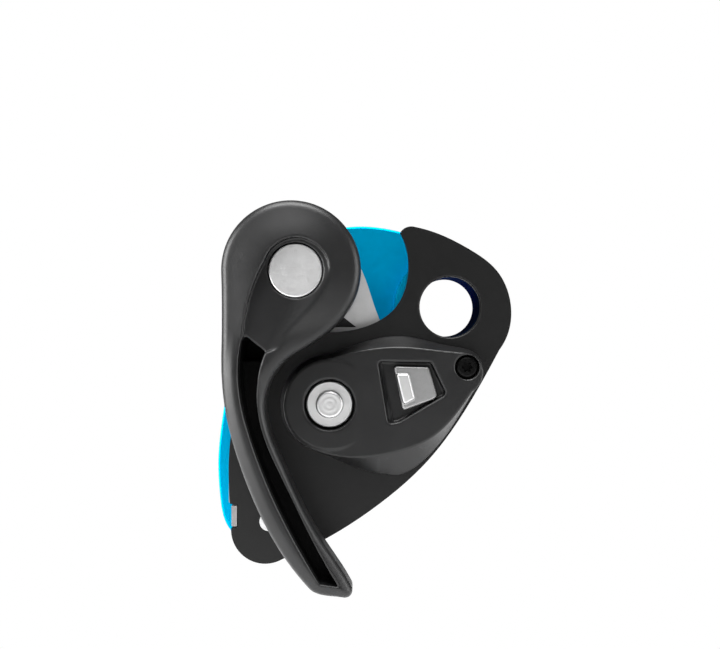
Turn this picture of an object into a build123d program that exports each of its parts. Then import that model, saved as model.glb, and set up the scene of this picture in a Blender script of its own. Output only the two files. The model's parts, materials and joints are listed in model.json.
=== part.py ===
from build123d import *
import math
import os

# Belay device with a cam, a folding release handle and a swinging side plate.
# Millimetres. +Z up, +X towards the karabiner, -Y is the front.
# The origin is the centre of the karabiner hole.

# Driving dimensions, in the plane of the plates (x, z).
HOLE_R = 7.8
AXLE = (-30.75, -24.65)
PIVOT = (-38.73, 8.62)
SCREW = (3.85, -15.2)
AXLE_R = 4.0
PIVOT_R = 3.0
RUNNING_GAP = 0.04

# Layers, as places along Y from the back to the front.
FIXED_BACK = 10.5
FIXED_FRONT = 7.5
CAM_BACK = 7.1
GROOVE_BACK = 5.7
GROOVE_FRONT = -4.9
CAM_FRONT = -6.3
WEAR_BACK = -6.7
BOSS_FRONT = -7.2
SWING_BACK = -7.5
SWING_FRONT = -10.0
HEAD_BACK = -10.6
CAVITY_BACK = -11.4
CAVITY_FRONT = -16.6
RECESS_FLOOR = -13.3
COVER_FRONT = -15.6
LEVER_BACK = -16.2
CHANNEL_FLOOR = -18.9
POCKET_FLOOR = -14.2
POCKET_FROM = -13.5
HEAD_FLAT = -24.6
HANDLE_FRONT = -26.0

# Rounds and radii.
BOSS_R = 14.9
GROOVE_R = 12.0
FLANGE_R = 18.6
NOSE_ANGLE = 17.0
NOSE_OFFSET = 7.0
NOSE_R = 9.0
HEAD_CENTRE = (-40.06, 8.9)
HEAD_R = 17.1
NECK_R = 15.5
HUB_R = 6.0
CAVITY_R = 12.4
BASE_PLATE_R = 13.4
DISC_R = 6.55
BUSH_R = 5.2
WASHER_R = 5.85
SPRING_WIRE_R = 0.6

# Travel, in degrees and millimetres.
CAM_TRAVEL = 20.0
HANDLE_TRAVEL = 150.0
SELECTOR_TRAVEL = 1.5

# Friction block, between the cam and the karabiner boss.
BLOCK_INNER_R = 23.4
BLOCK_OUTER_R = 27.6
BLOCK_FROM = -45.0
BLOCK_TO = 8.0

LINE, ARC, CURVE = "line", "arc", "curve"


def at_depth(depth):
    """Plane whose sketch axes are X and Z and whose normal points to the front."""
    return Plane(origin=(0, depth, 0), x_dir=(1, 0, 0), z_dir=(0, -1, 0))


def slab(sketch, back, front):
    """The sketch, filled from one depth to another."""
    return extrude(at_depth(back) * sketch, amount=back - front, dir=(0, -1, 0))


def polar(centre, radius, degrees):
    """Point (x, z) at a radius and an angle, counter-clockwise as seen from the front."""
    angle = math.radians(degrees)
    return (centre[0] + radius * math.cos(angle), centre[1] + radius * math.sin(angle))


def disc(centre, radius):
    """A round sketch about a point."""
    return Pos(*centre) * Circle(radius)


def post(centre, radius, back, front):
    """A cylinder along Y."""
    return slab(disc(centre, radius), back, front)


def tube(centre, outer, inner, back, front):
    """A sleeve along Y."""
    return slab(disc(centre, outer) - disc(centre, inner), back, front)


def outline(start, *steps):
    """A flat face bounded by straight, arc and spline steps from a start point."""
    edges = []
    here = start
    for kind, *points in steps:
        if kind == LINE:
            edges.append(Edge.make_line(here, points[0]))
        elif kind == ARC:
            edges.append(Edge.make_three_point_arc(here, *points))
        else:
            edges.append(Edge.make_spline([here, *points]))
        here = points[-1]
    if math.dist(here, start) > 1e-6:
        edges.append(Edge.make_line(here, start))
    face = Face(Wire(edges))
    return Sketch() + (face if face.normal_at().Z > 0 else -face)


def sector(centre, inner, outer, start, stop):
    """Part of a ring between two angles."""
    middle = (start + stop) / 2
    return outline(
        polar(centre, outer, start),
        (ARC, polar(centre, outer, middle), polar(centre, outer, stop)),
        (LINE, polar(centre, inner, stop)),
        (ARC, polar(centre, inner, middle), polar(centre, inner, start)),
    )


def coil(centre, radius, back, turns, pitch, wire_r=SPRING_WIRE_R):
    """A helical spring about an axis along Y, wound from the back to the front."""
    wire_path = Helix(pitch=pitch, height=pitch * turns, radius=radius)
    section = Plane(origin=wire_path @ 0, z_dir=wire_path % 0) * Circle(wire_r)
    place = Plane(origin=(centre[0], back, centre[1]), x_dir=(1, 0, 0), z_dir=(0, -1, 0))
    return place * sweep(section, path=wire_path)


def round_edges(solid, edges, radius):
    """Fillet the edges, or leave them sharp where the radius doesn't fit."""
    try:
        return fillet(edges, radius)
    except (ValueError, RuntimeError):
        return solid


# Outlines.


def swing_plate_outline():
    """The black plate: horn, karabiner end, long lower edge, notch and cam opening."""
    return outline(
        (-9.4, 20.6),
        (CURVE, (-5.1, 19.5), (5.1, 14.7), (12.05, 9.2), (15.6, 0.0), (12.6, -11.0)),
        (CURVE, (5.1, -24.4), (-5.3, -38.9), (-17.95, -50.3), (-32.3, -59.6), (-43.0, -64.6)),
        (ARC, (-51.9, -64.5), (-56.1, -56.7)),
        (LINE, (-54.4, -56.4)),
        (LINE, (-54.4, -50.7)),
        (LINE, (-56.4, -50.4)),
        (CURVE, (-56.7, -44.4), (-56.2, -33.3), (-52.0, -20.0), (-44.0, -11.0), (-30.8, -6.4)),
        (CURVE, (-20.5, -4.6), (-14.1, -0.3), (-10.9, 7.0), (-12.8, 19.0)),
        (ARC, (-11.6, 20.2), (-9.4, 20.6)),
    )


def fixed_plate_outline():
    """The blue plate: as the black one, with a lobe on the left and a higher top."""
    return outline(
        (-27.2, 22.0),
        (CURVE, (-17.6, 21.9), (-8.0, 19.6), (4.5, 14.2), (11.5, 8.8), (14.9, 0.0), (12.0, -11.0)),
        (CURVE, (4.4, -24.0), (-6.3, -38.8), (-18.4, -49.6), (-32.5, -58.7), (-44.0, -63.6)),
        (CURVE, (-53.0, -64.2), (-59.0, -59.8), (-61.2, -52.0), (-61.7, -40.0), (-60.1, -26.3)),
        (CURVE, (-56.5, -8.0), (-49.0, 10.5), (-39.0, 19.0), (-27.2, 22.0)),
    )


def cam_arm_outline():
    """The cam's front flange, drawn out to the handle pivot, with its window."""
    arm = outline(
        (-36.0, 17.3),
        (CURVE, (-27.5, 16.0), (-22.8, 9.9), (-19.0, -0.7), (-16.0, -8.0), (-13.3, -17.8)),
        (LINE, AXLE),
        (LINE, (-47.5, -16.0)),
        (CURVE, (-48.0, -5.0), (-47.9, 8.6)),
        (ARC, (-45.2, 15.1), (-36.0, 17.3)),
    )
    window = outline((-24.0, -5.2), (LINE, (-30.2, -0.4)), (LINE, (-35.0, -0.4)), (LINE, (-37.0, -5.2)))
    return arm + disc(AXLE, FLANGE_R) - window


def cam_groove_outline():
    """The floor of the rope groove: a drum with a nose that pinches the rope."""
    nose = polar(AXLE, NOSE_OFFSET, NOSE_ANGLE)
    return make_hull((disc(AXLE, GROOVE_R) + disc(nose, NOSE_R)).edges())


def lever_outline():
    """The handle seen from the front: round head, neck and curved lever."""
    left_top = (HEAD_CENTRE[0] - HEAD_R, HEAD_CENTRE[1])
    right_low = polar(HEAD_CENTRE, HEAD_R, -36.0)
    neck_top = polar(AXLE, NECK_R, 118.0)
    neck_left = polar(AXLE, NECK_R, 182.0)
    return outline(
        left_top,
        (CURVE, (-57.0, -8.3), (-56.2, -23.7), (-51.9, -40.1), (-43.0, -59.1), (-35.9, -68.4)),
        (CURVE, (-34.1, -69.8), (-31.6, -70.5), (-27.2, -71.0)),
        (ARC, (-25.2, -70.2), (-25.2, -68.2)),
        (CURVE, (-26.5, -65.9), (-30.7, -59.6), (-35.0, -52.9), (-42.2, -37.8), (-45.9, -27.6), neck_left),
        (ARC, polar(AXLE, NECK_R, 150.0), neck_top),
        (CURVE, (-33.7, -8.4), (-29.2, -4.9), right_low),
        (ARC, polar(HEAD_CENTRE, HEAD_R, 72.0), left_top),
    )


def channel_outline():
    """The long pocket between the lever's two ribs."""
    return outline(
        (-50.9, -7.2),
        (LINE, (-46.0, -11.0)),
        (CURVE, (-48.0, -19.1), (-47.5, -27.6), (-41.0, -43.8), (-34.7, -56.7), (-28.3, -67.9)),
        (LINE, (-32.9, -67.2)),
        (CURVE, (-39.9, -55.0), (-48.7, -34.9), (-51.9, -22.8), (-51.9, -8.5)),
    )


def head_flat_outline():
    """The slightly sunk teardrop round the rivet, running down to the channel."""
    return outline(
        (-31.2, 5.2),
        (ARC, polar(PIVOT, 8.0, 85.0), (-46.2, 11.0)),
        (CURVE, (-49.5, 3.5), (-51.5, -7.6)),
        (LINE, (-46.0, -11.3)),
        (CURVE, (-38.0, -7.4), (-33.2, -2.6), (-31.2, 5.2)),
    )


def cover_base_outline():
    """Foot of the front cover, where it meets the black plate."""
    return outline(
        (-30.75, -12.0),
        (CURVE, (-23.1, -9.0), (-13.3, -7.1), (0.0, -9.75), (7.0, -12.1), (8.7, -15.6), (7.4, -19.4)),
        (CURVE, (5.0, -23.6), (0.3, -31.4), (-6.4, -39.5), (-11.5, -43.0), (-16.7, -43.2)),
        (CURVE, (-21.5, -42.3), (-26.9, -40.3), (-36.3, -36.4)),
        (ARC, polar(AXLE, 12.9, 180.0), (-30.75, -12.0)),
    )


def cover_top_outline():
    """Front face of the cover, inside its bevels."""
    return outline(
        (-30.75, -13.0),
        (CURVE, (-20.6, -10.8), (-13.0, -10.3), (0.8, -11.5), (6.3, -13.0), (7.6, -15.8), (5.0, -21.4)),
        (CURVE, (1.0, -26.9), (-2.4, -30.6), (-7.0, -33.8), (-12.5, -35.8), (-25.6, -37.8), (-36.0, -35.4)),
        (ARC, polar(AXLE, 11.6, 180.0), (-30.75, -13.0)),
    )


def selector_outline():
    """The slider's plate: a tapering four-sided tab."""
    tab = Polygon(
        (-14.6, -14.95), (-5.7, -15.2), (-3.6, -22.6), (-4.6, -23.4), (-12.3, -26.2), align=None
    )
    return fillet(tab.vertices(), 0.7)


def recess_outline():
    """The opening in the cover that the slider moves in."""
    pocket = Polygon(
        (-18.6, -13.8), (-5.2, -14.0), (-1.4, -22.0), (-13.2, -28.9), (-16.0, -29.4), align=None
    )
    return fillet(pocket.vertices(), 0.9)


# The selector moves straight towards the axle.
SELECTOR_MIDDLE = (-9.1, -20.3)
SELECTOR_ANGLE = math.degrees(math.atan2(SELECTOR_MIDDLE[1] - AXLE[1], SELECTOR_MIDDLE[0] - AXLE[0]))
STEM = (3.4, 4.0)
CLIP = (6.6, 7.4)
SLOT_PLAY = 0.15


def selector_bar(length, width, shift=0.0):
    """A rectangle on the selector, turned to its direction of travel."""
    middle = polar(SELECTOR_MIDDLE, -shift, SELECTOR_ANGLE)
    return Pos(*middle) * Rot(0, 0, SELECTOR_ANGLE) * Rectangle(length, width)


# Pieces that stay with the fixed side plate.

BLOCK_RIVETS = [polar(AXLE, 25.2, -26.0), polar(AXLE, 25.5, -4.0)]
BLOCK_RIVET_R = 1.5
STOP_R = 1.5
STOP_AT_R = 15.5
STOP_ANGLE = 205.0


def fixed_side_plate():
    """Blue aluminium side plate, with the boss that the karabiner passes through."""
    plate = slab(fixed_plate_outline(), FIXED_BACK, FIXED_FRONT)
    rim = plate.faces().sort_by(Axis.Y)[0].edges() + plate.faces().sort_by(Axis.Y)[-1].edges()
    plate = round_edges(plate, rim, 0.6)
    plate += post((0, 0), BOSS_R - 0.8, FIXED_BACK - 1, BOSS_FRONT)
    plate -= post((0, 0), HOLE_R, FIXED_BACK + 1, BOSS_FRONT - 1)
    mouths = [e for e in plate.edges().filter_by(GeomType.CIRCLE) if abs(e.radius - HOLE_R) < 0.01]
    plate = round_edges(plate, mouths, 0.8)
    plate -= post(AXLE, AXLE_R, FIXED_BACK + 1, FIXED_FRONT - 1)
    for place in BLOCK_RIVETS:
        plate -= post(place, BLOCK_RIVET_R, FIXED_BACK + 1, FIXED_FRONT - 1)
    plate -= post(polar(AXLE, STOP_AT_R, STOP_ANGLE), STOP_R, FIXED_BACK + 1, FIXED_FRONT - 1)
    return plate


def cam_axle():
    """Steel axle with a flat rear head and a domed riveted front end."""
    shank = post(AXLE, AXLE_R, FIXED_BACK, -12.6)
    rear = post(AXLE, 6.4, FIXED_BACK + 1.2, FIXED_BACK)
    neck = post(AXLE, 2.6, -12.6, -13.8)
    dome = post(AXLE, 3.5, -13.8, -15.1)
    dome = fillet(dome.faces().sort_by(Axis.Y)[0].edges(), 0.7)
    rear = fillet(rear.faces().sort_by(Axis.Y)[-1].edges(), 0.6)
    return rear + shank + neck + dome


def axle_washer():
    """Steel washer under the axle's riveted end."""
    washer = tube(AXLE, WASHER_R, 2.6, -12.6, -13.8)
    return chamfer(washer.faces().sort_by(Axis.Y)[0].edges().sort_by(SortBy.RADIUS)[-1], 0.25)


def friction_block():
    """Hard steel wall on the far side of the rope groove."""
    block = slab(sector(AXLE, BLOCK_INNER_R, BLOCK_OUTER_R, BLOCK_FROM, BLOCK_TO), FIXED_FRONT, BOSS_FRONT)
    corners = block.edges().filter_by(Axis.Y)
    block = round_edges(block, corners, 1.2)
    for place in BLOCK_RIVETS:
        block -= post(place, BLOCK_RIVET_R, FIXED_FRONT + 1, FIXED_FRONT - 7)
    return block


def friction_block_rivets():
    """Two rivets that hold the friction block to the fixed plate."""
    rivets = []
    for place in BLOCK_RIVETS:
        head = post(place, 2.4, FIXED_BACK + 0.7, FIXED_BACK)
        head = fillet(head.faces().sort_by(Axis.Y)[-1].edges(), 0.5)
        rivets.append(head + post(place, BLOCK_RIVET_R, FIXED_BACK, FIXED_FRONT - 6.8))
    return Compound(children=rivets)


def cam_stop_pin():
    """Pin in the fixed plate that runs in the cam's slot and ends its travel."""
    return post(polar(AXLE, STOP_AT_R, STOP_ANGLE), STOP_R, FIXED_BACK, GROOVE_BACK + 0.2)


# Pieces that turn with the cam.

SPRING_POCKET_R = 9.9
SPRING_POCKET_FLOOR = 0.4
ARM_RIVET_HEAD_R = 4.4


def cam():
    """Cast steel cam: grooved drum, two flanges and the arm that carries the handle."""
    body = slab(cam_groove_outline(), GROOVE_BACK + 0.1, GROOVE_FRONT - 0.1)
    body += slab(disc(AXLE, FLANGE_R), CAM_BACK, GROOVE_BACK)
    body += slab(cam_arm_outline(), GROOVE_FRONT, CAM_FRONT)
    body -= post(AXLE, BUSH_R, CAM_BACK + 1, CAM_FRONT - 1)
    body -= tube(AXLE, SPRING_POCKET_R, BUSH_R + 1.2, CAM_BACK + 1, SPRING_POCKET_FLOOR)
    body -= post(PIVOT, PIVOT_R, GROOVE_FRONT + 1, CAM_FRONT - 1)
    body -= post(PIVOT, ARM_RIVET_HEAD_R, GROOVE_FRONT + 1, GROOVE_FRONT - 0.7)
    track_r = STOP_R + 0.1
    slot_end = STOP_ANGLE - CAM_TRAVEL
    slot = sector(AXLE, STOP_AT_R - track_r, STOP_AT_R + track_r, slot_end, STOP_ANGLE)
    slot += disc(polar(AXLE, STOP_AT_R, STOP_ANGLE), track_r)
    slot += disc(polar(AXLE, STOP_AT_R, slot_end), track_r)
    body -= slab(slot, CAM_BACK + 1, GROOVE_BACK - 0.05)
    return body


def cam_bush():
    """Plain bearing between cam and axle."""
    return tube(AXLE, BUSH_R, AXLE_R + RUNNING_GAP, CAM_BACK, CAM_FRONT)


def cam_return_spring():
    """Torsion spring in the cam's rear pocket."""
    return coil(AXLE, 8.2, 6.4, 3.5, 1.4)


def handle_rivet():
    """Stepped rivet through the cam arm, with the wide flat head seen in front."""
    rear = post(PIVOT, ARM_RIVET_HEAD_R, GROOVE_FRONT, GROOVE_FRONT - 0.7)
    shank = post(PIVOT, PIVOT_R, GROOVE_FRONT - 0.7, -22.8)
    head = post(PIVOT, DISC_R, -22.8, -24.2)
    head = fillet(head.faces().sort_by(Axis.Y)[0].edges(), 0.4)
    return rear + shank + head


PAWL_TOOTH_ANGLE = 190.0
PAWL_TOOTH_R = 0.6
HUB_STEP_R = 5.1
HUB_FRONT = -13.2
STEP_FROM = PAWL_TOOTH_ANGLE - HANDLE_TRAVEL - 8.0
STEP_TO = PAWL_TOOTH_ANGLE + 14.0


def drive_hub():
    """Steel hub riveted to the cam arm, with the shoulder that the overload pawl pushes."""
    hub = tube(PIVOT, HUB_R, PIVOT_R, CAM_FRONT, HUB_FRONT)
    return hub - slab(sector(PIVOT, HUB_STEP_R, HUB_R + 1, STEP_FROM, STEP_TO), CAVITY_BACK, HUB_FRONT - 1)


# Pieces that turn with the handle.

PAWL_PIN = (-47.2, 12.2)
BASE_SCREWS = [polar(PIVOT, 10.9, 60.0), polar(PIVOT, 10.9, 300.0), polar(PIVOT, 10.9, 235.0)]
BASE_SCREW_R = 0.9
PAWL_PIN_R = 1.0


def handle_lever():
    """Release handle: deep round head, thin lever with two ribs and a pocket between."""
    face = lever_outline()
    lever = slab(face, LEVER_BACK, HANDLE_FRONT)
    lever = round_edges(lever, lever.faces().sort_by(Axis.Y)[0].edges(), 2.2)
    deep = face & (Pos(-40, 12) * Rectangle(60, 59))
    lever += slab(deep, HEAD_BACK, LEVER_BACK)
    lever -= slab(channel_outline(), CHANNEL_FLOOR, HANDLE_FRONT - 1)
    above = Pos(-48, POCKET_FROM + 6) * Rectangle(14, 12)
    lever -= slab(channel_outline() & above, POCKET_FLOOR, CHANNEL_FLOOR - 1)
    lever -= slab(head_flat_outline(), HEAD_FLAT, HANDLE_FRONT - 1)
    lever -= post(PIVOT, BASE_PLATE_R, HEAD_BACK + 1, CAVITY_BACK)
    lever -= post(PIVOT, CAVITY_R, CAVITY_BACK, CAVITY_FRONT)
    lever -= post(PIVOT, 4.2, CAVITY_FRONT + 1, -23)
    lever -= post(PIVOT, DISC_R + 0.15, -22.7, HANDLE_FRONT - 1)
    lever -= post(PAWL_PIN, PAWL_PIN_R, CAVITY_FRONT + 1, CAVITY_FRONT - 2.5)
    bosses = Part() + [post(place, 1.9, CAVITY_BACK, CAVITY_FRONT) for place in BASE_SCREWS]
    lever += bosses
    for place in BASE_SCREWS:
        lever -= post(place, BASE_SCREW_R, CAVITY_BACK + 1, CAVITY_BACK - 4.2)
    return lever


def handle_bush():
    """Sleeve moulded into the handle, running on the rivet."""
    return tube(PIVOT, 4.2, PIVOT_R + RUNNING_GAP, -13.4, -22.7)


def handle_return_spring():
    """Torsion spring that folds the handle back, round the drive hub."""
    return coil(PIVOT, 6.6, -13.9, 1.4, 1.3, 0.5)


def head_base_plate():
    """Steel disc that closes the head and carries the pawl's pin."""
    plate = tube(PIVOT, BASE_PLATE_R, HUB_R + 0.1, HEAD_BACK, CAVITY_BACK)
    plate -= post(PAWL_PIN, PAWL_PIN_R, HEAD_BACK + 1, CAVITY_BACK - 1)
    for place in BASE_SCREWS:
        plate -= post(place, BASE_SCREW_R, HEAD_BACK + 1, CAVITY_BACK - 1)
    return plate


def base_plate_screws():
    """Three flush screws in the head's base plate."""
    return Compound(children=[post(p, BASE_SCREW_R, HEAD_BACK, CAVITY_BACK - 4) for p in BASE_SCREWS])


def pawl_pin():
    """Pin that the overload pawl turns on."""
    return post(PAWL_PIN, PAWL_PIN_R, HEAD_BACK, CAVITY_FRONT - 2.4)


# Pieces that turn with the black swinging plate.

TAB_RIVETS = [(-46.4, -54.9), (-49.5, -33.5)]
TAB_RIVET_R = 1.3


def moving_side_plate():
    """Black swinging side plate, with the karabiner hole and the rope-side opening."""
    plate = slab(swing_plate_outline(), SWING_BACK, SWING_FRONT)
    rim = plate.faces().sort_by(Axis.Y)[0].edges()
    plate = round_edges(plate, rim, 0.4)
    plate -= post((0, 0), HOLE_R, SWING_BACK + 1, SWING_FRONT - 1)
    mouths = [e for e in plate.edges().filter_by(GeomType.CIRCLE) if abs(e.radius - HOLE_R) < 0.01]
    plate = round_edges(plate, mouths, 0.5)
    plate -= post(AXLE, BUSH_R, SWING_BACK + 1, SWING_FRONT - 1)
    for place in TAB_RIVETS:
        plate -= post(place, TAB_RIVET_R, SWING_BACK + 1, SWING_FRONT - 1)
    plate -= post(SCREW, 1.3, SWING_BACK + 1, SWING_FRONT - 1)
    return plate


def plate_bush():
    """Plain bearing between swinging plate and axle."""
    return tube(AXLE, BUSH_R, AXLE_R + RUNNING_GAP, SWING_BACK + 0.6, SWING_FRONT - 0.4)


def wear_plate():
    """Thin steel liner where the braking rope runs out, with the tab that locates it."""
    liner = outline(
        (-53.0, -27.0),
        (CURVE, (-56.0, -33.5), (-57.0, -44.0), (-57.0, -50.4)),
        (LINE, (-56.0, -50.9)),
        (LINE, (-56.0, -56.2)),
        (ARC, (-52.0, -62.9), (-44.5, -63.0)),
        (LINE, (-33.0, -58.2)),
        (CURVE, (-37.0, -52.0), (-45.0, -44.0), (-48.0, -30.0)),
        (ARC, (-50.0, -27.0), (-53.0, -27.0)),
    )
    tab = Pos(-55.3, -53.55) * Rectangle(1.4, 5.2)
    plate = slab(liner, WEAR_BACK, SWING_BACK) + slab(tab, SWING_BACK + 0.1, SWING_FRONT)
    for place in TAB_RIVETS:
        plate -= post(place, TAB_RIVET_R, WEAR_BACK + 1, SWING_BACK - 1)
    return plate


def wear_plate_rivets():
    """Two low rivets that hold the liner to the swinging plate."""
    rivets = []
    for place in TAB_RIVETS:
        head = post(place, 2.4, SWING_FRONT, SWING_FRONT - 0.4)
        rivets.append(head + post(place, TAB_RIVET_R, WEAR_BACK, SWING_FRONT))
    return Compound(children=rivets)


def cover_cavity():
    """Hollows inside the cover: one under the selector, one round the mode spring."""
    room = make_hull((disc((-9.5, -21.0), 8.2) + disc((-12.0, -29.0), 5.5)).edges())
    return slab(room, SWING_FRONT + 1, -11.8) + tube(AXLE, 9.9, 6.9, SWING_FRONT + 1, -13.4)


def recess_cut():
    """Room for the slider: a floor under it and a ramp up to the front on its left."""
    block = slab(recess_outline(), RECESS_FLOOR, COVER_FRONT - 1)
    foot = polar(SELECTOR_MIDDLE, -7.1, SELECTOR_ANGLE)
    travel = math.radians(SELECTOR_ANGLE)
    ramp = Plane(
        origin=(foot[0], RECESS_FLOOR, foot[1]),
        x_dir=(-math.sin(travel), 0, math.cos(travel)),
        z_dir=(math.cos(travel), -1, math.sin(travel)),
    )
    return split(block, bisect_by=ramp, keep=Keep.TOP)


def front_cover():
    """Black moulded cover with the slider's recess, axle recess and screw counterbore."""
    foot = at_depth(SWING_FRONT) * cover_base_outline()
    top = at_depth(COVER_FRONT) * cover_top_outline()
    cover = loft([foot, top], ruled=True)
    cover -= cover_cavity()
    cover -= post(AXLE, 6.25, -12.4, COVER_FRONT - 1)
    cover -= post(AXLE, BUSH_R + 0.1, SWING_FRONT + 1, -13)
    cover -= post(SCREW, 3.1, -13.6, COVER_FRONT - 1)
    cover -= post(SCREW, 1.3, SWING_FRONT + 1, -14)
    cover -= recess_cut()
    slot_length = STEM[0] + SELECTOR_TRAVEL + 2 * SLOT_PLAY
    slot = selector_bar(slot_length, STEM[1] + 2 * SLOT_PLAY, SELECTOR_TRAVEL / 2)
    cover -= slab(slot, SWING_FRONT, RECESS_FLOOR - 1)
    return cover


def cover_screw():
    """Button-head screw with a six-lobe socket."""
    head = post(SCREW, 2.77, -13.6, -15.2)
    head = fillet(head.faces().sort_by(Axis.Y)[0].edges(), 0.8)
    socket = disc(SCREW, 0.95)
    for lobe in range(6):
        socket += disc(polar(SCREW, 1.0, 60 * lobe), 0.36)
    return head + post(SCREW, 1.3, -8.0, -13.6) - slab(socket, -14.1, -16)


def mode_spring():
    """Torsion spring under the cover that the selector loads."""
    return coil(AXLE, 8.4, -10.7, 1.5, 1.3)


def detent_leaf():
    """Leaf spring on the plate that clicks under the selector's clip."""
    leaf = slab(selector_bar(9.0, 2.4, -1.0), SWING_FRONT, SWING_FRONT - 0.3)
    return leaf + slab(selector_bar(1.0, 2.4, 1.0), SWING_FRONT - 0.3, SWING_FRONT - 0.6)


# The selector.


def selector_slider():
    """Metal slider with its thumb ridge and the stem that passes through the cover."""
    tab = slab(selector_outline(), RECESS_FLOOR - 0.1, -14.9)
    tab = round_edges(tab, tab.faces().sort_by(Axis.Y)[0].edges(), 0.3)
    ridge_face = Polygon((-14.0, -16.9), (-10.9, -16.9), (-9.4, -23.1), (-12.1, -24.6), align=None)
    ridge = slab(fillet(ridge_face.vertices(), 0.5), -14.9, -16.1)
    ridge = round_edges(ridge, ridge.faces().sort_by(Axis.Y)[0].edges(), 0.35)
    stem = slab(selector_bar(*STEM), -10.8, RECESS_FLOOR - 0.1)
    return tab + ridge + stem


def selector_clip():
    """Plate snapped on the stem under the cover, which keeps the slider in."""
    return slab(selector_bar(*CLIP) - selector_bar(*STEM), -10.8, -11.6)


# The overload pawl.

PAWL_BACK = -11.5
PAWL_FRONT = -13.1


def overload_pawl():
    """Small lever in the head whose tooth drives the hub until the pull is too hard."""
    tip = polar(PIVOT, HUB_STEP_R + PAWL_TOOTH_R + 0.1, PAWL_TOOTH_ANGLE)
    elbow = polar(PIVOT, HUB_R + 2.3, PAWL_TOOTH_ANGLE)
    shape = make_hull((disc(PAWL_PIN, 2.1) + disc(elbow, 1.2)).edges())
    shape += make_hull((disc(elbow, 1.1) + disc(tip, PAWL_TOOTH_R)).edges())
    return slab(shape - disc(PAWL_PIN, PAWL_PIN_R + RUNNING_GAP), PAWL_BACK, PAWL_FRONT)


def pawl_spring():
    """Small bent leaf that presses the pawl on to the hub."""
    return slab(sector(PIVOT, 11.5, 11.9, 168.0, 206.0), PAWL_BACK, PAWL_FRONT)


NODES = [
    fixed_side_plate, cam_axle, axle_washer, friction_block, friction_block_rivets, cam_stop_pin,
    cam, cam_bush, cam_return_spring, handle_rivet, drive_hub,
    handle_lever, handle_bush, handle_return_spring, head_base_plate, base_plate_screws, pawl_pin,
    overload_pawl, pawl_spring,
    moving_side_plate, plate_bush, wear_plate, wear_plate_rivets, front_cover, cover_screw,
    mode_spring, detent_leaf,
    selector_slider, selector_clip,
]

os.makedirs("parts", exist_ok=True)
for node in NODES:
    export_step(node(), f"parts/{node.__name__}.step")
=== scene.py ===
import json
import math
import bmesh
import bpy
import numpy as np
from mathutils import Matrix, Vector


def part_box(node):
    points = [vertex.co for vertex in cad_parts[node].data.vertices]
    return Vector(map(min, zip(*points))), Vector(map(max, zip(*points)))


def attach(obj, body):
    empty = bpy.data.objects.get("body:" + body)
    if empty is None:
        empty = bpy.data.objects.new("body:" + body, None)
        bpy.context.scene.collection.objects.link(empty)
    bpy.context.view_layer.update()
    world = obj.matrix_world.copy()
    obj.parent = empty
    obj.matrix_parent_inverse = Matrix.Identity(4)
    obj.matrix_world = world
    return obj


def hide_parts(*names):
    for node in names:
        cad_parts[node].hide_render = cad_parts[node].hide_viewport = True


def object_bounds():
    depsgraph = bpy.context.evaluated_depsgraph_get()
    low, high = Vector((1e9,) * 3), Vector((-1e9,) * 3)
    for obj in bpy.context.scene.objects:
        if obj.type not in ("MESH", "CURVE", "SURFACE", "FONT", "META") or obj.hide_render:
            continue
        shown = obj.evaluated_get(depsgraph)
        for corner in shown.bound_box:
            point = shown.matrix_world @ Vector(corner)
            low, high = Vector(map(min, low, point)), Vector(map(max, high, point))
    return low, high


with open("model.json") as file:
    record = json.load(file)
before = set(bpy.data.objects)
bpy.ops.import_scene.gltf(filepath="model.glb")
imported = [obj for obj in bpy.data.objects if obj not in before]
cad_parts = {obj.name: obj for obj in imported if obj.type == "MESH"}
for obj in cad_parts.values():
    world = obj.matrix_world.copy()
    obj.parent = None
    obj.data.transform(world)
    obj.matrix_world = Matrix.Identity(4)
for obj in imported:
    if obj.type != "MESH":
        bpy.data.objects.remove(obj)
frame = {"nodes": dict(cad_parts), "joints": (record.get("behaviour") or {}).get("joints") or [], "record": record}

# Looks of a belay device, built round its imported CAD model. Metres; the front is -Y.

MM = 0.001
CAD_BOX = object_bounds()
NOISE_ROUGHNESS = 0.55
EDGE_POINTINESS = (0.51, 0.58)
BORE_SHADE_R = (8.0, 8.3)
LATHE_RINGS = 5.2
RIDGE_WORN_Y = (-15.35, -15.15)


# Materials.


def grey(level):
    """A neutral colour."""
    return (level, level, level)


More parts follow.
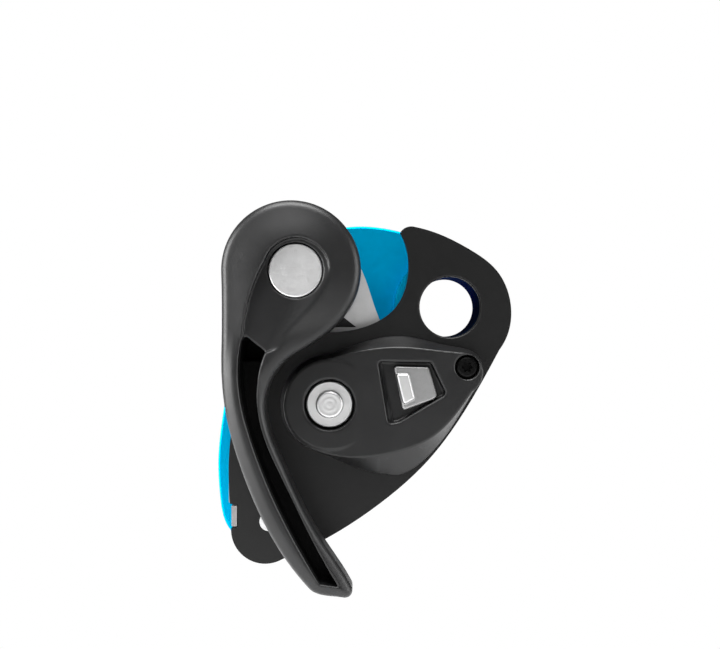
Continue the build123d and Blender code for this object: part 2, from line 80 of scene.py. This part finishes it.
class Shader:
    """A Principled material and short calls that add nodes to it."""

    def __init__(self, name, colour, roughness, metallic=0.0):
        self.material = bpy.data.materials.new(name)
        self.material.use_nodes = True
        self.nodes = self.material.node_tree.nodes
        self.links = self.material.node_tree.links
        self.bsdf = self.nodes["Principled BSDF"]
        self.bsdf.inputs["Base Color"].default_value = (*colour, 1)
        self.bsdf.inputs["Roughness"].default_value = roughness
        self.bsdf.inputs["Metallic"].default_value = metallic
        self.place = self.nodes.new("ShaderNodeTexCoord").outputs["Object"]
        self.normal = None

    def set(self, socket, value):
        """Sets one of the shader's own inputs."""
        self.bsdf.inputs[socket].default_value = value

    def noise(self, size_mm, detail, stretch=(1, 1, 1)):
        """Noise whose grains are about size_mm across."""
        mapping = self.nodes.new("ShaderNodeMapping")
        mapping.inputs["Scale"].default_value = [1 / (size_mm * MM * s) for s in stretch]
        self.links.new(self.place, mapping.inputs["Vector"])
        noise = self.nodes.new("ShaderNodeTexNoise")
        noise.inputs["Scale"].default_value = 1.0
        noise.inputs["Detail"].default_value = detail
        noise.inputs["Roughness"].default_value = NOISE_ROUGHNESS
        self.links.new(mapping.outputs["Vector"], noise.inputs["Vector"])
        return noise.outputs["Fac"]

    def ramp(self, value, low, high, a, b):
        """Maps a value from [low, high] to [a, b]."""
        node = self.nodes.new("ShaderNodeMapRange")
        for socket, number in (("From Min", low), ("From Max", high), ("To Min", a), ("To Max", b)):
            node.inputs[socket].default_value = number
        self.links.new(value, node.inputs["Value"])
        return node.outputs["Result"]

    def math(self, kind, a, b):
        """A Math node on two values, each a number or an output."""
        node = self.nodes.new("ShaderNodeMath")
        node.operation = kind
        for socket, value in zip(node.inputs, (a, b)):
            if isinstance(value, (int, float)):
                socket.default_value = value
            else:
                self.links.new(value, socket)
        return node.outputs["Value"]

    def mix(self, factor, a, b):
        """Mixes two colours, each a tuple or an output."""
        node = self.nodes.new("ShaderNodeMix")
        node.data_type = "RGBA"
        self.links.new(factor, node.inputs["Factor"])
        for socket, value in ((node.inputs[6], a), (node.inputs[7], b)):
            if isinstance(value, tuple):
                socket.default_value = (*value, 1)
            else:
                self.links.new(value, socket)
        return node.outputs[2]

    def bump(self, height, distance_mm, strength):
        """Adds a bump on top of those the material already has."""
        node = self.nodes.new("ShaderNodeBump")
        node.inputs["Distance"].default_value = distance_mm * MM
        node.inputs["Strength"].default_value = strength
        self.links.new(height, node.inputs["Height"])
        if self.normal is not None:
            self.links.new(self.normal, node.inputs["Normal"])
        self.normal = node.outputs["Normal"]
        self.links.new(self.normal, self.bsdf.inputs["Normal"])

    def edges(self):
        """1 on worn convex edges, 0 elsewhere. Only for even meshes."""
        geometry = self.nodes.new("ShaderNodeNewGeometry")
        return self.ramp(geometry.outputs["Pointiness"], *EDGE_POINTINESS, 0, 1)

    def from_axis(self, x_mm, z_mm):
        """The distance from a line along Y, in millimetres."""
        mapping = self.nodes.new("ShaderNodeMapping")
        mapping.inputs["Location"].default_value = (-x_mm, 0, -z_mm)
        mapping.inputs["Scale"].default_value = (1 / MM, 0, 1 / MM)
        self.links.new(self.place, mapping.inputs["Vector"])
        length = self.nodes.new("ShaderNodeVectorMath")
        length.operation = "LENGTH"
        self.links.new(mapping.outputs["Vector"], length.inputs[0])
        return length.outputs["Value"]

    def along(self, axis):
        """The place along one of the object's axes, in metres."""
        split = self.nodes.new("ShaderNodeSeparateXYZ")
        self.links.new(self.place, split.inputs["Vector"])
        return split.outputs[axis]

    def link(self, output, socket):
        """Feeds one of the shader's inputs."""
        self.links.new(output, self.bsdf.inputs[socket])


def moulded_nylon():
    """Black glass-filled nylon: fine spark-eroded texture and faint flow clouds."""
    s = Shader("black_nylon", grey(0.004), 0.42)
    s.set("Specular IOR Level", 0.32)
    cloud = s.noise(9, 2)
    tone = s.mix(s.ramp(cloud, 0.35, 0.65, 0, 1), (0.0025, 0.0025, 0.0027), (0.005, 0.005, 0.0052))
    s.link(s.mix(s.edges(), tone, grey(0.010)), "Base Color")
    s.link(s.ramp(s.noise(0.35, 4), 0.3, 0.7, 0.36, 0.48), "Roughness")
    s.bump(s.noise(0.28, 3), 0.03, 0.5)
    return s.material


def matt_nylon_painted_shade():
    """The same nylon, matt as it leaves the mould, with painted shade: darker and less shiny, for pockets that
    nothing rubs.
    """
    s = Shader("black_nylon_matt_painted_shade", grey(0.002), 0.7)
    s.set("Specular IOR Level", 0.06)
    s.link(s.mix(s.noise(4, 3), grey(0.001), grey(0.003)), "Base Color")
    s.link(s.ramp(s.noise(0.35, 4), 0.3, 0.7, 0.62, 0.8), "Roughness")
    s.bump(s.noise(0.28, 3), 0.03, 0.5)
    return s.material


def black_anodised():
    """Hard-anodised aluminium sheet: deep black, very fine blasted grain."""
    s = Shader("black_anodised", grey(0.003), 0.45)
    s.set("Specular IOR Level", 0.22)
    s.link(s.mix(s.noise(5, 3), grey(0.002), grey(0.004)), "Base Color")
    s.link(s.ramp(s.noise(0.5, 4), 0.3, 0.7, 0.38, 0.52), "Roughness")
    s.bump(s.noise(0.16, 3), 0.02, 0.6)
    return s.material


def blue_anodised():
    """Cyan anodised aluminium, satin, with painted shade: dark navy colour on the wall of the karabiner hole."""
    s = Shader("blue_anodised", (0.0, 0.30, 0.53), 0.5, 1.0)
    s.set("Specular Tint", (0.0, 0.12, 0.35, 1))
    tone = s.mix(s.noise(7, 2), (0.0, 0.25, 0.45), (0.0, 0.29, 0.50))
    # Painted shade: the karabiner hole's wall is coloured dark navy.
    bore_shade = s.ramp(s.from_axis(0, 0), *BORE_SHADE_R, 1, 0)
    s.link(s.mix(bore_shade, tone, (0.0, 0.012, 0.04)), "Base Color")
    s.link(s.ramp(s.noise(0.4, 4), 0.3, 0.7, 0.44, 0.56), "Roughness")
    s.bump(s.noise(0.2, 3), 0.01, 0.5)
    return s.material


def blasted_steel(name="cast_steel", colour=grey(0.52), roughness=0.5):
    """Cast and bead-blasted stainless steel."""
    s = Shader(name, colour, roughness, 0.85)
    dull = tuple(c * 0.82 for c in colour)
    s.link(s.mix(s.noise(2.5, 4), dull, colour), "Base Color")
    s.link(s.ramp(s.noise(0.3, 4), 0.3, 0.7, roughness - 0.08, roughness + 0.1), "Roughness")
    s.bump(s.noise(0.22, 3), 0.03, 0.6)
    return s.material


def turned_steel():
    """Turned stainless steel, with faint tool marks."""
    s = Shader("bright_steel", grey(0.57), 0.46, 1.0)
    s.link(s.mix(s.noise(3, 4), grey(0.53), grey(0.61)), "Base Color")
    s.link(s.ramp(s.noise(0.4, 3, (4, 1, 1)), 0.3, 0.7, 0.42, 0.5), "Roughness")
    s.bump(s.noise(0.12, 2, (5, 1, 1)), 0.003, 0.4)
    return s.material


def turned_end(x_mm, z_mm):
    """The axle's end, with the rings that the lathe leaves round its centre."""
    s = Shader("turned_end", grey(0.57), 0.42, 1.0)
    s.link(s.mix(s.noise(2, 4), grey(0.53), grey(0.61)), "Base Color")
    s.link(s.ramp(s.noise(0.3, 3), 0.3, 0.7, 0.38, 0.48), "Roughness")
    radius = s.from_axis(x_mm, z_mm)
    rings = s.math("SINE", s.math("MULTIPLY", radius, LATHE_RINGS), 0.0)
    s.bump(rings, 0.018, 0.6)
    s.bump(s.noise(0.12, 2), 0.003, 0.4)
    return s.material


def drawn_wire():
    """Spring wire."""
    s = Shader("spring_steel", (0.5, 0.5, 0.49), 0.35, 1.0)
    s.link(s.ramp(s.noise(0.4, 3), 0.3, 0.7, 0.28, 0.45), "Roughness")
    s.bump(s.noise(0.2, 2), 0.01, 0.4)
    return s.material


def sintered_bronze():
    """Oil-filled sintered bronze of the bushes."""
    s = Shader("bronze", (0.55, 0.36, 0.17), 0.45, 0.9)
    s.link(s.mix(s.noise(0.6, 4), (0.42, 0.27, 0.12), (0.6, 0.4, 0.2)), "Base Color")
    s.bump(s.noise(0.15, 3), 0.02, 0.5)
    return s.material


def cast_slider():
    """Tumbled die-cast metal of the mode selector."""
    s = Shader("slider_metal", grey(0.27), 0.42, 0.9)
    dull = s.mix(s.noise(1.5, 4), grey(0.24), grey(0.30))
    worn = s.ramp(s.along("Y"), RIDGE_WORN_Y[0] * MM, RIDGE_WORN_Y[1] * MM, 1, 0)
    s.link(s.mix(worn, dull, grey(0.50)), "Base Color")
    s.link(s.ramp(s.noise(0.25, 4), 0.3, 0.7, 0.34, 0.5), "Roughness")
    s.bump(s.noise(0.25, 3), 0.02, 0.5)
    return s.material


def black_oxide():
    """Blackened steel of the screws."""
    s = Shader("black_steel", grey(0.001), 0.4)
    s.set("Specular IOR Level", 0.1)
    s.link(s.ramp(s.noise(0.3, 4), 0.3, 0.7, 0.28, 0.46), "Roughness")
    s.bump(s.noise(0.15, 3), 0.01, 0.5)
    return s.material


MATERIALS = {
    "blue_anodised": blue_anodised(),
    "black_anodised": black_anodised(),
    "black_nylon": moulded_nylon(),
    "cast_steel": blasted_steel(),
    "bright_steel": turned_steel(),
    "liner_steel": blasted_steel("liner_steel", (0.26, 0.25, 0.25), 0.45),
    "slider_metal": cast_slider(),
    "black_steel": black_oxide(),
    "spring_steel": drawn_wire(),
    "bronze": sintered_bronze(),
}

for part in frame["record"]["subparts"]:
    node = frame["nodes"][part["node"]]
    for slot in node.material_slots:
        slot.material = MATERIALS[part["material_slot"]]


# Moulded shapes, built as distance fields. These functions work in millimetres.


def rest_point(joint):
    """(x, z) of a hinge at rest, in millimetres."""
    place = next(j for j in frame["joints"] if j["name"] == joint)["pos_m"]
    return np.array([place[0], place[2]]) / MM


def sections(node, depth):
    """Closed (x, z) loops, largest first, where a CAD node is cut at a depth along Y."""
    bm = bmesh.new()
    bm.from_mesh(frame["nodes"][node].data)
    bmesh.ops.remove_doubles(bm, verts=bm.verts, dist=1e-6)
    cut = bmesh.ops.bisect_plane(
        bm,
        geom=bm.verts[:] + bm.edges[:] + bm.faces[:],
        plane_co=(0, depth * MM, 0),
        plane_no=(0, 1, 0),
    )["geom_cut"]
    onward = {}
    for edge in cut:
        if isinstance(edge, bmesh.types.BMEdge):
            a, b = edge.verts
            onward.setdefault(a, []).append(b)
            onward.setdefault(b, []).append(a)
    loops = []
    left = set(onward)
    while left:
        here = start = left.pop()
        loop = [start.co.copy()]
        while True:
            ahead = [v for v in onward[here] if v in left]
            if not ahead:
                break
            here = ahead[0]
            left.discard(here)
            loop.append(here.co.copy())
        loops.append(np.array([(p.x, p.z) for p in loop]) / MM)
    bm.free()
    return sorted(loops, key=lambda points: -area(points))


def area(points):
    """Area inside a closed loop."""
    x, z = points[:, 0], points[:, 1]
    return abs(np.dot(x, np.roll(z, 1)) - np.dot(z, np.roll(x, 1))) / 2


class Grid:
    """A box of sample points, and the fields that are measured on it."""

    def __init__(self, low, high, step):
        axes = [np.arange(a - 2 * step, b + 3 * step, step) for a, b in zip(low, high)]
        self.step = step
        self.low = np.array([axis[0] for axis in axes])
        self.x, self.y, self.z = np.meshgrid(*axes, indexing="ij", sparse=True)
        self.flat_x, self.flat_z = np.broadcast_arrays(self.x, self.z)

    def loop(self, points):
        """Signed distance in the plane to a closed loop, negative inside."""
        x, z = self.flat_x, self.flat_z
        nearest = np.full(x.shape, 1e9)
        inside = np.zeros(x.shape, bool)
        for (ax, az), (bx, bz) in zip(points, np.roll(points, -1, 0)):
            ex, ez = bx - ax, bz - az
            size = ex * ex + ez * ez
            if size < 1e-12:
                continue
            along = np.clip(((x - ax) * ex + (z - az) * ez) / size, 0, 1)
            away = (x - ax - along * ex) ** 2 + (z - az - along * ez) ** 2
            nearest = np.minimum(nearest, away)
            if az != bz:
                crosses = (az > z) != (bz > z)
                inside ^= crosses & (x < ax + (z - az) / (bz - az) * ex)
        return np.where(inside, -1, 1) * np.sqrt(nearest)

    def disc(self, centre, radius):
        """Distance from a circle in the plane, negative inside."""
        return np.hypot(self.flat_x - centre[0], self.flat_z - centre[1]) - radius


def meet(a, b, radius):
    """Intersection with its edge rounded."""
    if np.isscalar(radius) and radius == 0:
        return np.maximum(a, b)
    return np.minimum(-radius, np.maximum(a, b)) + np.hypot(
        np.maximum(a + radius, 0), np.maximum(b + radius, 0)
    )


def join(a, b, radius):
    """Union with its inner corner filled by a round."""
    return -meet(-a, -b, radius)


def cut(a, b, radius):
    """a without b, the new edge rounded."""
    return meet(a, -b, radius)


def ease(low, high, value):
    """Smooth step from 0 to 1."""
    t = np.clip((value - low) / (high - low), 0, 1)
    return t * t * (3 - 2 * t)


def steep(grid, surface, y):
    """Distance behind a front face whose depth changes across the plane."""
    grown = np.broadcast_to(surface, grid.flat_x.shape)
    across = np.gradient(grown[:, 0, :], grid.step)
    slope = np.hypot(*across)[:, None, :]
    return (surface - y) / np.hypot(1, slope)


def skin(grid, field, name, slot, body, replaced):
    """The surface where a field is zero, as a smooth mesh that rides on a body."""
    solid = field < 0
    shape = tuple(n - 1 for n in field.shape)
    total = np.zeros(shape + (3,))
    count = np.zeros(shape)
    corners = [(i, j, k) for i in (0, 1) for j in (0, 1) for k in (0, 1)]

    def at(array, corner):
        i, j, k = corner
        return array[i : i + shape[0], j : j + shape[1], k : k + shape[2]]

    for start in corners:
        for axis in range(3):
            if start[axis]:
                continue
            end = tuple(1 if n == axis else start[n] for n in range(3))
            crossing = at(solid, start) != at(solid, end)
            va, vb = at(field, start)[crossing], at(field, end)[crossing]
            offset = np.tile(np.array(start, float), (len(va), 1))
            offset[:, axis] = va / (va - vb)
            total[crossing] += offset
            count[crossing] += 1
    used = count > 0
    index = np.full(shape, -1)
    index[used] = np.arange(used.sum())
    cells = np.argwhere(used)
    points = grid.low + grid.step * (cells + total[used] / count[used][:, None])
    quads = []
    for axis in range(3):
        u, v = (axis + 1) % 3, (axis + 2) % 3
        low = [slice(1, -1)] * 3
        low[axis] = slice(0, -1)
        high = list(low)
        high[axis] = slice(1, None)
        a, b = solid[tuple(low)], solid[tuple(high)]
        found = np.argwhere(a != b) + 1
        found[:, axis] -= 1
        outward = a[a != b]
        around = []
        for du, dv in ((-1, -1), (0, -1), (0, 0), (-1, 0)):
            cell = found.copy()
            cell[:, u] += du
            cell[:, v] += dv
            around.append(index[tuple(cell.T)])
        quad = np.stack(around, 1)
        quad[~outward] = quad[~outward][:, ::-1]
        quads.append(quad)
    mesh = bpy.data.meshes.new(name)
    mesh.from_pydata((points * MM).tolist(), [], np.concatenate(quads).tolist())
    mesh.polygons.foreach_set("use_smooth", [True] * len(mesh.polygons))
    mesh.materials.append(MATERIALS[slot])
    piece = bpy.data.objects.new(name, mesh)
    bpy.context.scene.collection.objects.link(piece)
    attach(piece, body)
    if replaced:
        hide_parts(*replaced)
    return piece


def paint(piece, grid, region, material):
    """Gives the faces inside a field a second material."""
    mesh = piece.data
    middles = np.empty(len(mesh.polygons) * 3)
    mesh.polygons.foreach_get("center", middles)
    cells = np.rint((middles.reshape(-1, 3) / MM - grid.low) / grid.step).astype(int)
    cells = np.clip(cells, 0, np.array(region.shape) - 1)
    inside = region[tuple(cells.T)] < 0
    mesh.materials.append(material)
    mesh.polygons.foreach_set("material_index", inside.astype(np.int32))


def node_box(node):
    """A CAD node's lowest and highest corners, in millimetres."""
    low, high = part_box(node)
    return np.array(low) / MM, np.array(high) / MM


PIVOT = rest_point("handle_fold")
AXLE = rest_point("cam_pivot")
frame["nodes"]["cam_axle"].material_slots[0].material = turned_end(*AXLE)
SCREW = np.array(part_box("cover_screw")).mean(0)[[0, 2]] / MM
SHARP = 0

# Handle: depths along Y, places along Z, radii and falls.
LEVER_BACK = -16.2
LEVER_CUT = -20.0
HEAD_FOOT_Z = -17.2
NECK_Z = (-18, -4)
RIB_FALL = 2.0
RIB_WIDTH = 3.2
RIB_CURVE = 1.3
HEAD_FALL = 3.3
HEAD_SLOPE = (-3, 12.0)
FRONT_ROUND = 0.9
BACK_ROUND = 0.8
OVERLAP = 2
CHANNEL_FLOOR = -18.9
CHANNEL_SINK = 1.2
CHANNEL_Z = (-30, -66)
CHANNEL_DRAFT = 0.05
POCKET_FLOOR = -14.2
POCKET_FROM = -13.5
SHADE_PAINT_INSET = 0.6
SHADE_PAINT_FROM = 2.4
TEARDROP_CUT = -25.3
TEARDROP_DEPTH = -24.1
DISC_HOLE_R = 6.75
DISC_SEAT = -22.7
BASE_PLATE_HOLE_R = 13.45
BASE_PLATE_SEAT = -11.4
CAVITY_R = 12.4
CAVITY_FRONT = -16.6

# Cover: depths along Y and radii.
COVER_CUT = 0.1
COVER_EDGE_ROUND = 0.45
BOSS_STEP = 0.35
BOSS_R = (11.0, 11.7)
BOSS_FADE = (2, -6)
BOSS_FADE_FROM = 6
SPRING_ROOM_R = (6.9, 9.9)
SPRING_ROOM_FLOOR = -13.4
CLIP_ROOM_FLOOR = -11.8
AXLE_HOLE_R = 5.3
AXLE_HOLE_FLOOR = -13.0
WASHER_HOLE_R = 6.4
WASHER_FLOOR = -12.4
SCREW_HEAD_R = 3.1
SCREW_FLOOR = -13.6
SCREW_HOLE_R = 1.3
RECESS_FLOOR = -13.3
RAMP_LENGTH = 2.6
RECESS_WALL = 0.8
STEM_SLOT_CUT = -12.0
STEM_SLOT_BACK = -11.0

# Selector: depths along Y.
TAB_CUT = -14.4
TAB_FRONT = -14.9
TAB_BACK = -13.4
RIDGE_CUT = -15.5
RIDGE_BACK = -14.5
STEM_CUT = -12.0
STEM_FRONT = -14.0

# Dark block in the cam's window, put there as painted shade: depths along Y.
WINDOW_CUT = -5.6
SHADE_BLOCK_FRONT = -4.9
SHADE_BLOCK_BACK = -3.4
SHADE_BLOCK_LIP = 0.8

SLIDE = next(j for j in frame["joints"] if j["name"] == "selector_slide")["axis"]
TRAVEL = -np.array([SLIDE[0], SLIDE[2]])
SELECTOR_MIDDLE = np.array([-9.1, -20.3])
RAMP_FOOT = SELECTOR_MIDDLE - 7.1 * TRAVEL


def make_handle():
    """Release handle: domed head, sunk teardrop, ribs with a deep pocket between them."""
    low, high = node_box("handle_lever")
    front, back = low[1], high[1]
    grid = Grid(low, high, 0.34)
    y, z = grid.y, grid.z
    outer, channel = sections("handle_lever", LEVER_CUT)[:2]
    edge, pocket = grid.loop(outer), grid.loop(channel)
    teardrop = grid.loop(sections("handle_lever", TEARDROP_CUT)[1])
    in_head = ease(*NECK_Z, z)
    inward = np.clip(-edge, 0, 12)
    rib_fall = RIB_FALL * (1 - np.clip(inward / RIB_WIDTH, 0, 1)) ** RIB_CURVE
    head_fall = HEAD_FALL * (1 - ease(*HEAD_SLOPE, inward))
    fall = rib_fall + (head_fall - rib_fall) * in_head
    body = meet(edge, steep(grid, front + fall, y), FRONT_ROUND + FRONT_ROUND * in_head)
    body = meet(body, y - LEVER_BACK, BACK_ROUND)
    deep = meet(meet(edge, y - back, BACK_ROUND), LEVER_BACK - OVERLAP - y, SHARP)
    deep = meet(deep, HEAD_FOOT_Z - z, 0.6)
    body = join(body, deep, 0.5)
    floor = CHANNEL_FLOOR - CHANNEL_SINK * ease(*CHANNEL_Z, z)
    floor = np.where(z > POCKET_FROM, POCKET_FLOOR, floor)
    wall = pocket + CHANNEL_DRAFT * (y - front)
    body = cut(body, meet(wall, y - floor, 0.3), 0.5)
    lean = (grid.x - PIVOT[0]) - 0.6 * (z - PIVOT[1])
    sunk = TEARDROP_DEPTH + 0.6 * ease(2, -10, lean) - 1.7 * ease(3, 13, lean)
    body = cut(body, meet(teardrop, y - sunk, 0.25), 0.3)
    body = cut(body, np.maximum(grid.disc(PIVOT, DISC_HOLE_R), y - DISC_SEAT), 0.15)
    body = cut(body, np.maximum(grid.disc(PIVOT, BASE_PLATE_HOLE_R), BASE_PLATE_SEAT - y), SHARP)
    body = cut(body, np.maximum(grid.disc(PIVOT, CAVITY_R), CAVITY_FRONT - y), SHARP)
    piece = skin(grid, body, "handle_moulding", "black_nylon", "handle", ["handle_lever"])
    # Painted shade: faces deep in the lever's channel and pocket get the darker matt nylon; the lever's back face
    # inside that outline gets it too.
    painted_shade_region = np.maximum(np.broadcast_to(pocket - SHADE_PAINT_INSET, body.shape), front + SHADE_PAINT_FROM - y)
    paint(piece, grid, painted_shade_region, matt_nylon_painted_shade())


def make_cover():
    """Front cover: bevelled shell with the selector's recess and the axle and screw recesses."""
    low, high = node_box("front_cover")
    grid = Grid(low, high, 0.27)
    y = grid.y
    foot = grid.loop(sections("front_cover", high[1] - COVER_CUT)[0])
    top = sections("front_cover", low[1] + COVER_CUT)
    face, recess = grid.loop(top[0]), grid.loop(top[1])
    clip_room = grid.loop(sections("front_cover", high[1] - 0.9)[2])
    stem_slot = grid.loop(sections("front_cover", STEM_SLOT_CUT)[4])
    outside, inside = np.clip(face, 0, None), np.clip(-foot, 0, None)
    fall = (high[1] - low[1]) * outside / (outside + inside + 1e-6)
    beside = ease(*BOSS_FADE, grid.x - AXLE[0] - BOSS_FADE_FROM)
    fall += BOSS_STEP * ease(*BOSS_R, grid.disc(AXLE, 0)) * beside
    body = meet(foot, steep(grid, low[1] + fall, y), COVER_EDGE_ROUND)
    body = meet(body, y - high[1], SHARP)
    ring = np.maximum(grid.disc(AXLE, SPRING_ROOM_R[1]), -grid.disc(AXLE, SPRING_ROOM_R[0]))
    body = cut(body, np.maximum(ring, SPRING_ROOM_FLOOR - y), SHARP)
    body = cut(body, np.maximum(clip_room, CLIP_ROOM_FLOOR - y), SHARP)
    body = cut(body, np.maximum(grid.disc(AXLE, AXLE_HOLE_R), AXLE_HOLE_FLOOR - y), SHARP)
    body = cut(body, np.maximum(grid.disc(AXLE, WASHER_HOLE_R), y - WASHER_FLOOR), 0.4)
    body = cut(body, np.maximum(grid.disc(SCREW, SCREW_HEAD_R), y - SCREW_FLOOR), 0.25)
    body = cut(body, grid.disc(SCREW, SCREW_HOLE_R), SHARP)
    along = (grid.x - RAMP_FOOT[0]) * TRAVEL[0] + (grid.z - RAMP_FOOT[1]) * TRAVEL[1]
    floor = RECESS_FLOOR + np.clip(along, -RAMP_LENGTH, 0)
    body = cut(body, meet(recess, RECESS_WALL * (y - floor), 0.5), 0.45)
    body = cut(body, np.maximum(stem_slot, y - STEM_SLOT_BACK), SHARP)
    skin(grid, body, "cover_moulding", "black_nylon", "swing_side", ["front_cover"])


def make_selector():
    """Mode selector: tumbled tab with a thumb ridge along its left edge."""
    low, high = node_box("selector_slider")
    grid = Grid(low, high, 0.16)
    y = grid.y
    tab = grid.loop(sections("selector_slider", TAB_CUT)[0])
    ridge = grid.loop(sections("selector_slider", RIDGE_CUT)[0])
    stem = grid.loop(sections("selector_slider", STEM_CUT)[0])
    body = meet(meet(tab, TAB_FRONT - y, 0.5), y - TAB_BACK, 0.1)
    crown = meet(meet(ridge, low[1] - y, 0.45), y - RIDGE_BACK, SHARP)
    body = join(body, crown, 0.3)
    shank = meet(meet(stem, y - high[1], 0.1), STEM_FRONT - y, SHARP)
    body = join(body, shank, 0.1)
    skin(grid, body, "selector_casting", "slider_metal", "selector", ["selector_slider"])


def make_cam_window_shade():
    """Black block in the window of the cam's front flange, put there as painted shade."""
    window = sections("cam", WINDOW_CUT)[3]
    (left, bottom), (right, top) = window.min(0) - 1, window.max(0) + 1
    grid = Grid((left, SHADE_BLOCK_FRONT, bottom), (right, -3.2, top), 0.2)
    body = meet(grid.loop(window) - SHADE_BLOCK_LIP, SHADE_BLOCK_FRONT - grid.y, 0.1)
    body = meet(body, grid.y - SHADE_BLOCK_BACK, 0.2)
    skin(grid, body, "cam_window_shade", "black_nylon", "cam_unit", [])


make_handle()
make_cover()
make_selector()
make_cam_window_shade()

# Camera, light and floor.

CAMERA_AT = Vector((-0.02308, -0.280, -0.00449))
FIELD_OF_VIEW = math.radians(37.7)
FLOOR_Z = CAD_BOX[0].z - 0.03


def add_camera():
    """A level camera square to the plates."""
    data = bpy.data.cameras.new("camera")
    data.sensor_fit = "HORIZONTAL"
    data.angle = FIELD_OF_VIEW
    data.clip_start = 0.01
    camera = bpy.data.objects.new("camera", data)
    camera.location = CAMERA_AT
    camera.rotation_euler = (math.radians(90), 0, 0)
    bpy.context.scene.collection.objects.link(camera)
    bpy.context.scene.camera = camera


def add_area(name, place, target, size, power):
    """A rectangular soft box aimed at a point."""
    data = bpy.data.lights.new(name, "AREA")
    data.shape = "RECTANGLE"
    data.size, data.size_y = size
    data.energy = power
    lamp = bpy.data.objects.new(name, data)
    lamp.location = place
    lamp.rotation_euler = (Vector(target) - Vector(place)).to_track_quat("-Z", "Y").to_euler()
    bpy.context.scene.collection.objects.link(lamp)


def add_world(light, backdrop):
    """An even pale room that looks white behind the object."""
    world = bpy.data.worlds.new("studio")
    bpy.context.scene.world = world
    world.use_nodes = True
    nodes, links = world.node_tree.nodes, world.node_tree.links
    room = nodes["Background"]
    room.inputs["Color"].default_value = (1, 1, 1, 1)
    room.inputs["Strength"].default_value = light
    seen = nodes.new("ShaderNodeBackground")
    seen.inputs["Color"].default_value = (1, 1, 1, 1)
    seen.inputs["Strength"].default_value = backdrop
    rays = nodes.new("ShaderNodeLightPath")
    mix = nodes.new("ShaderNodeMixShader")
    links.new(rays.outputs["Is Camera Ray"], mix.inputs["Fac"])
    links.new(room.outputs["Background"], mix.inputs[1])
    links.new(seen.outputs["Background"], mix.inputs[2])
    links.new(mix.outputs["Shader"], nodes["World Output"].inputs["Surface"])


def add_floor():
    """A plain pale floor well below the hanging object."""
    bm = bmesh.new()
    bmesh.ops.create_circle(bm, cap_ends=True, segments=96, radius=3.0)
    mesh = bpy.data.meshes.new("floor")
    bm.to_mesh(mesh)
    bm.free()
    floor = bpy.data.objects.new("floor", mesh)
    floor.location.z = FLOOR_Z
    bpy.context.scene.collection.objects.link(floor)
    s = Shader("floor_white", grey(0.93), 0.9)
    s.link(s.mix(s.noise(40, 3), grey(0.92), grey(0.94)), "Base Color")
    glow = s.nodes.new("ShaderNodeEmission")
    rays = s.nodes.new("ShaderNodeLightPath")
    mix = s.nodes.new("ShaderNodeMixShader")
    s.links.new(rays.outputs["Is Camera Ray"], mix.inputs["Fac"])
    s.links.new(s.bsdf.outputs["BSDF"], mix.inputs[1])
    s.links.new(glow.outputs["Emission"], mix.inputs[2])
    s.links.new(mix.outputs["Shader"], s.nodes["Material Output"].inputs["Surface"])
    mesh.materials.append(s.material)


bpy.context.scene.view_settings.view_transform = "Standard"
add_camera()
add_world(light=0.155, backdrop=1.0)
add_floor()
MIDDLE = (CAD_BOX[0] + CAD_BOX[1]) / 2
add_area("top", (-0.05, -0.12, 0.45), MIDDLE, (0.40, 0.30), 5.9)
add_area("key", (-0.15, -0.35, 0.45), MIDDLE, (0.50, 0.35), 1.2)
add_area("left", (-0.45, -0.10, 0.05), MIDDLE, (0.25, 0.40), 5.0)
add_area("right", (0.45, -0.10, 0.0), MIDDLE, (0.25, 0.40), 2.6)
